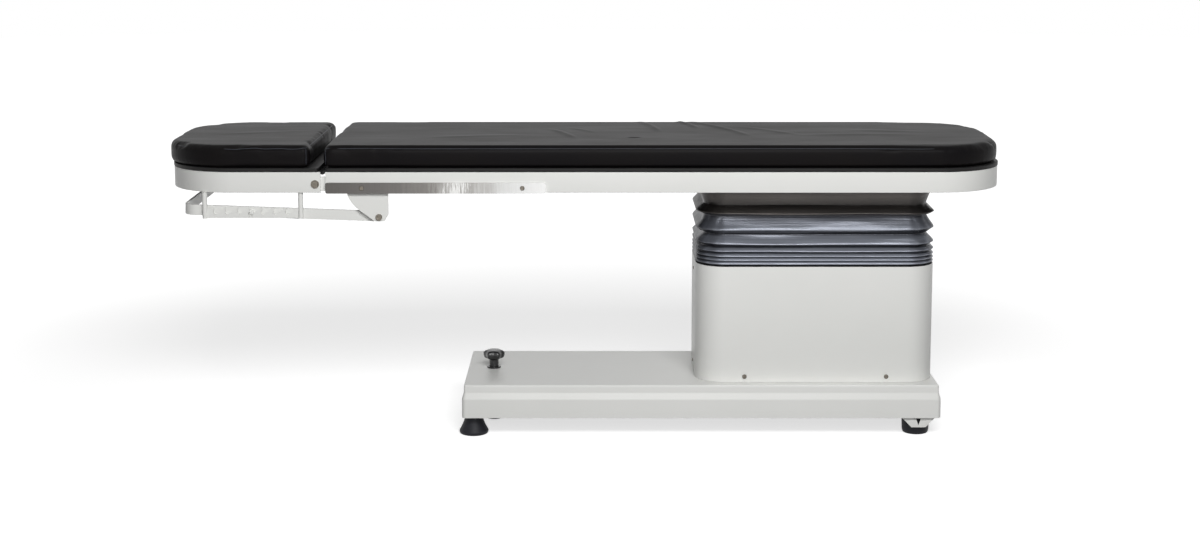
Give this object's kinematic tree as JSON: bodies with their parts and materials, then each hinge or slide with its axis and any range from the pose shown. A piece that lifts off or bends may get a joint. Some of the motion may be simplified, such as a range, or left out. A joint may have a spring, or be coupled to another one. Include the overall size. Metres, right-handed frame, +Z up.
{
  "type": "operating table",
  "caption": "Cantilevered operating table on a lifting column, with a hinged head section propped by a notched bail.",
  "frame": {"origin": "on the floor under the middle of the table top's length and width", "axes": "+X to the foot end over the column, -X to the head end, +Y to the rear side in the picture, +Z up"},
  "size_m": [2.01, 0.5106, 0.7236],
  "materials": {
    "white_paint": "semi-gloss off-white powder coat",
    "vinyl": "satin black upholstery vinyl over foam",
    "black_board": "black laminate board edge",
    "brushed_steel": "lengthwise brushed stainless steel",
    "zinc_plate": "dull plated steel",
    "aluminium": "satin anodised extrusion",
    "dark_steel": "black painted steel plate",
    "bellows_cloth": "coated grey-blue pleated cloth with a sheen",
    "rubber": "matt black rubber",
    "black_plastic": "glossy black moulded plastic",
    "grey_plastic": "matt grey moulded plastic",
    "bronze": "plain sintered bronze"
  },
  "bodies": {
    "base": {"base_cover": "white_paint", "base_plate": "dark_steel", "flared_foot_front": "rubber", "flared_foot_rear": "rubber", "puck_foot_front": "rubber", "puck_foot_rear": "rubber", "foot_bracket_front": "white_paint", "foot_bracket_rear": "white_paint", "jack_collar": "black_plastic", "column_cover": "white_paint", "cover_screw_front_head": "zinc_plate", "cover_screw_front_foot": "zinc_plate", "cover_screw_rear_head": "zinc_plate", "cover_screw_rear_foot": "zinc_plate", "mains_inlet": "black_plastic", "control_box": "grey_plastic", "column_outer_tube": "aluminium", "outer_glide_ring": "grey_plastic", "lift_actuator": "grey_plastic", "bellows_lower_clamp": "dark_steel", "bellows": "bellows_cloth"},
    "jack_foot": {"jack_pad": "rubber"},
    "jack_screw": {"jack_spindle": "zinc_plate", "jack_knob": "black_plastic"},
    "column_stage": {"column_middle_tube": "aluminium", "middle_glide_ring": "grey_plastic"},
    "table_top": {"column_inner_tube": "aluminium", "lift_rod": "aluminium", "bellows_upper_clamp": "dark_steel", "saddle_plate": "dark_steel", "main_frame": "white_paint", "cross_member_head": "white_paint", "cross_member_column_head_side": "white_paint", "cross_member_column_foot_side": "white_paint", "main_deck": "black_board", "main_pad": "vinyl", "hinge_lug_front": "white_paint", "hinge_lug_rear": "white_paint", "hinge_bolt_front": "zinc_plate", "hinge_bolt_rear": "zinc_plate", "side_rail_front": "brushed_steel", "side_rail_rear": "brushed_steel", "rail_screw_front_head": "zinc_plate", "rail_screw_front_foot": "zinc_plate", "rail_screw_rear_head": "zinc_plate", "rail_screw_rear_foot": "zinc_plate", "bail_bracket_front": "white_paint", "bail_bracket_rear": "white_paint", "bail_pivot_bolt_front": "zinc_plate", "bail_pivot_bolt_rear": "zinc_plate"},
    "head_section": {"head_frame": "white_paint", "head_cross_bar": "white_paint", "head_deck": "black_board", "head_pad": "vinyl", "notch_hanger_front": "white_paint", "notch_hanger_rear": "white_paint"},
    "bail_bushes": {"bail_bush_front": "bronze", "bail_bush_rear": "bronze"},
    "bail": {"bail": "white_paint"}
  },
  "joints": [
    {"name": "lift", "type": "slide", "parent": "base", "child": "table_top", "axis": [0, 0, 1], "range_m": [-0.11, 0.19], "deforming": ["bellows"]},
    {"name": "column_stage_slide", "type": "slide", "parent": "base", "child": "column_stage", "axis": [0, 0, 1], "range_m": [-0.055, 0.095]},
    {"name": "head_tilt", "type": "hinge", "parent": "table_top", "child": "head_section", "pos_m": [-0.6342, 0, 0.6338], "axis": [0, 1, 0], "range_deg": [-18.5, 18]},
    {"name": "bail_follow", "type": "hinge", "parent": "table_top", "child": "bail_bushes", "pos_m": [-0.485, 0, 0.5542], "axis": [0, 1, 0], "range_deg": [-11.47, 11.16]},
    {"name": "bail_lift", "type": "hinge", "parent": "bail_bushes", "child": "bail", "pos_m": [-0.485, 0, 0.5542], "axis": [0, 1, 0], "range_deg": [0, 2]},
    {"name": "jack_extend", "type": "slide", "parent": "base", "child": "jack_foot", "axis": [0, 0, -1], "range_m": [0, 0.012]},
    {"name": "jack_turn", "type": "hinge", "parent": "jack_foot", "child": "jack_screw", "pos_m": [-0.2288, 0, 0.12], "axis": [0, 0, -1], "range_deg": [0, 1440]}
  ],
  "couplings": [
    {"joint": "column_stage_slide", "follows": "lift", "ratio": 0.5},
    {"joint": "bail_follow", "follows": "head_tilt", "ratio": 0.62},
    {"joint": "jack_turn", "follows": "jack_extend", "rad_per_m": 2094.4}
  ]
}
